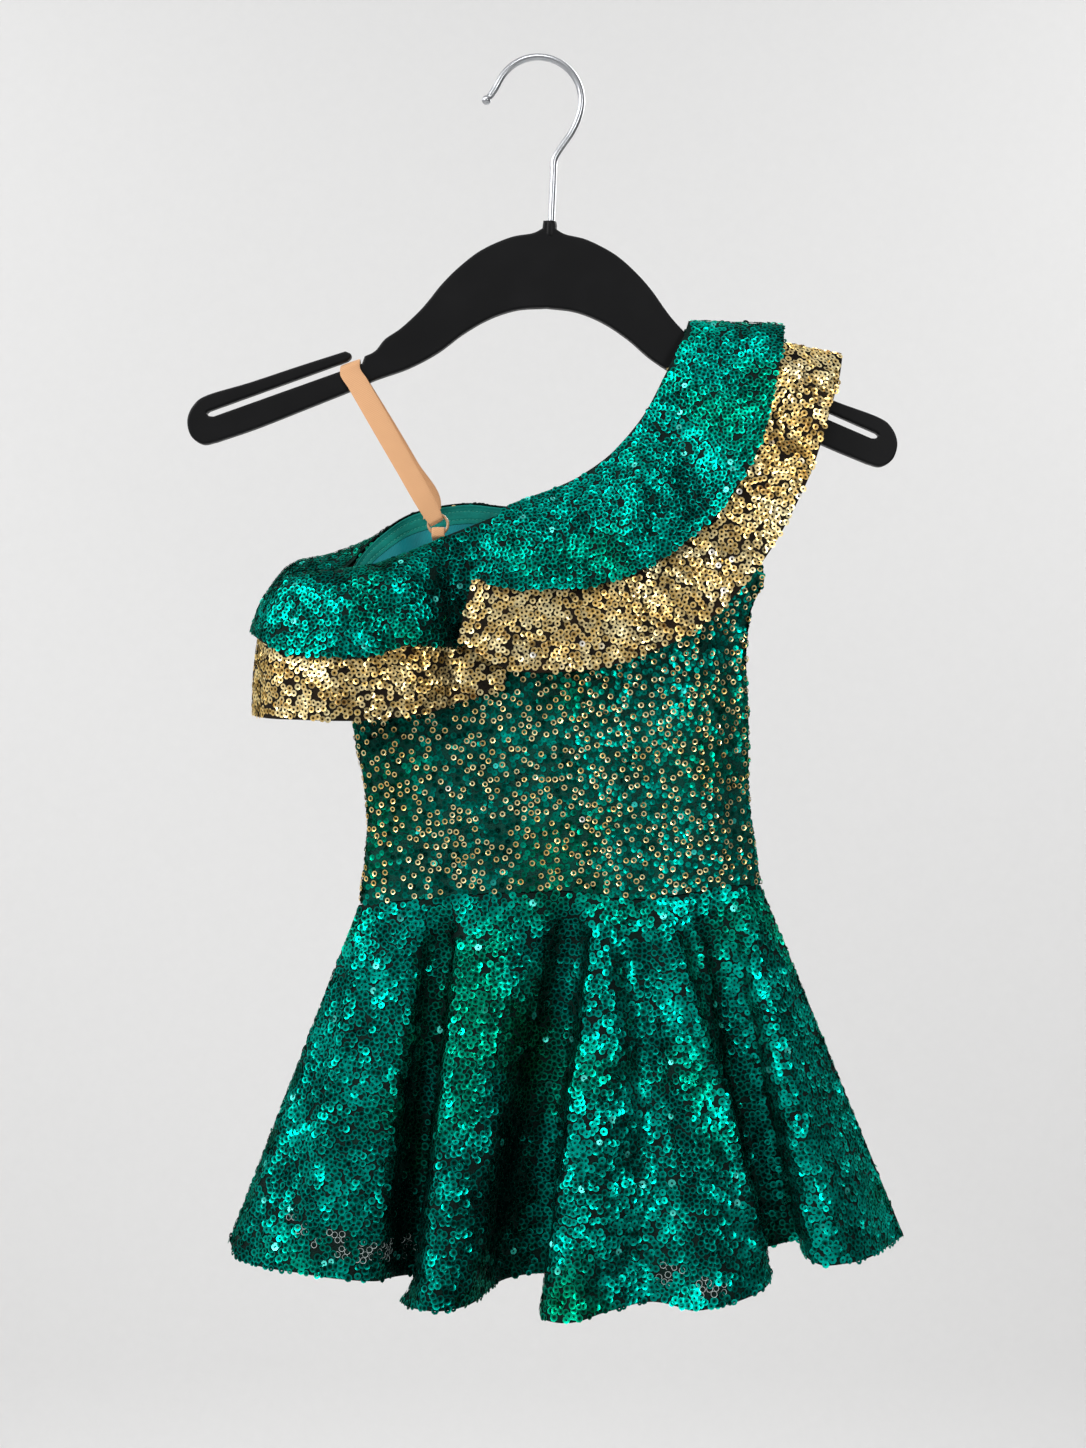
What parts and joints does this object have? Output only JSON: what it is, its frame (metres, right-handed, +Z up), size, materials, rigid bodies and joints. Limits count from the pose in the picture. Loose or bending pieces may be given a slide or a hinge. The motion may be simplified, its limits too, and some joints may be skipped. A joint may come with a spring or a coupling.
{
  "type": "sequin dress on hanger",
  "caption": "Child's one-shoulder sequin dress with a two-layer ruffle, elastic strap and flared skirt, hung on a slotted black hanger with a wire hook.",
  "frame": {"origin": "middle of the hook's wire at its crown, where a rail holds the hanger", "axes": "+Z up, the dress's front faces -Y, +X to the right as the front is seen"},
  "size_m": [0.3442, 0.106, 0.5924],
  "materials": {
    "green_sequins": "metallic green sequins on dark green net",
    "mixed_sequins": "green sequins with scattered gold ones",
    "gold_sequins": "metallic gold sequins on black net",
    "black_plastic": "satin",
    "bright_wire": "bright",
    "tan_elastic": "matt woven elastic",
    "pale_ring": "gloss",
    "teal_binding": "matt folded tape with two rows of stitches",
    "turquoise_lining": "smooth"
  },
  "bodies": {
    "root": {"back_lining": "turquoise_lining", "back_neck_binding": "teal_binding", "bodice_back": "mixed_sequins", "bodice_front": "mixed_sequins", "hanger_body": "black_plastic", "hanger_hook": "bright_wire", "ruffle_gold_shoulder": "gold_sequins", "ruffle_gold_side": "gold_sequins", "ruffle_green_shoulder": "green_sequins", "ruffle_green_side": "green_sequins", "skirt_back": "green_sequins", "skirt_front": "green_sequins", "strap": "tan_elastic", "strap_ring": "pale_ring", "strap_tab": "tan_elastic"}
  },
  "joints": []
}
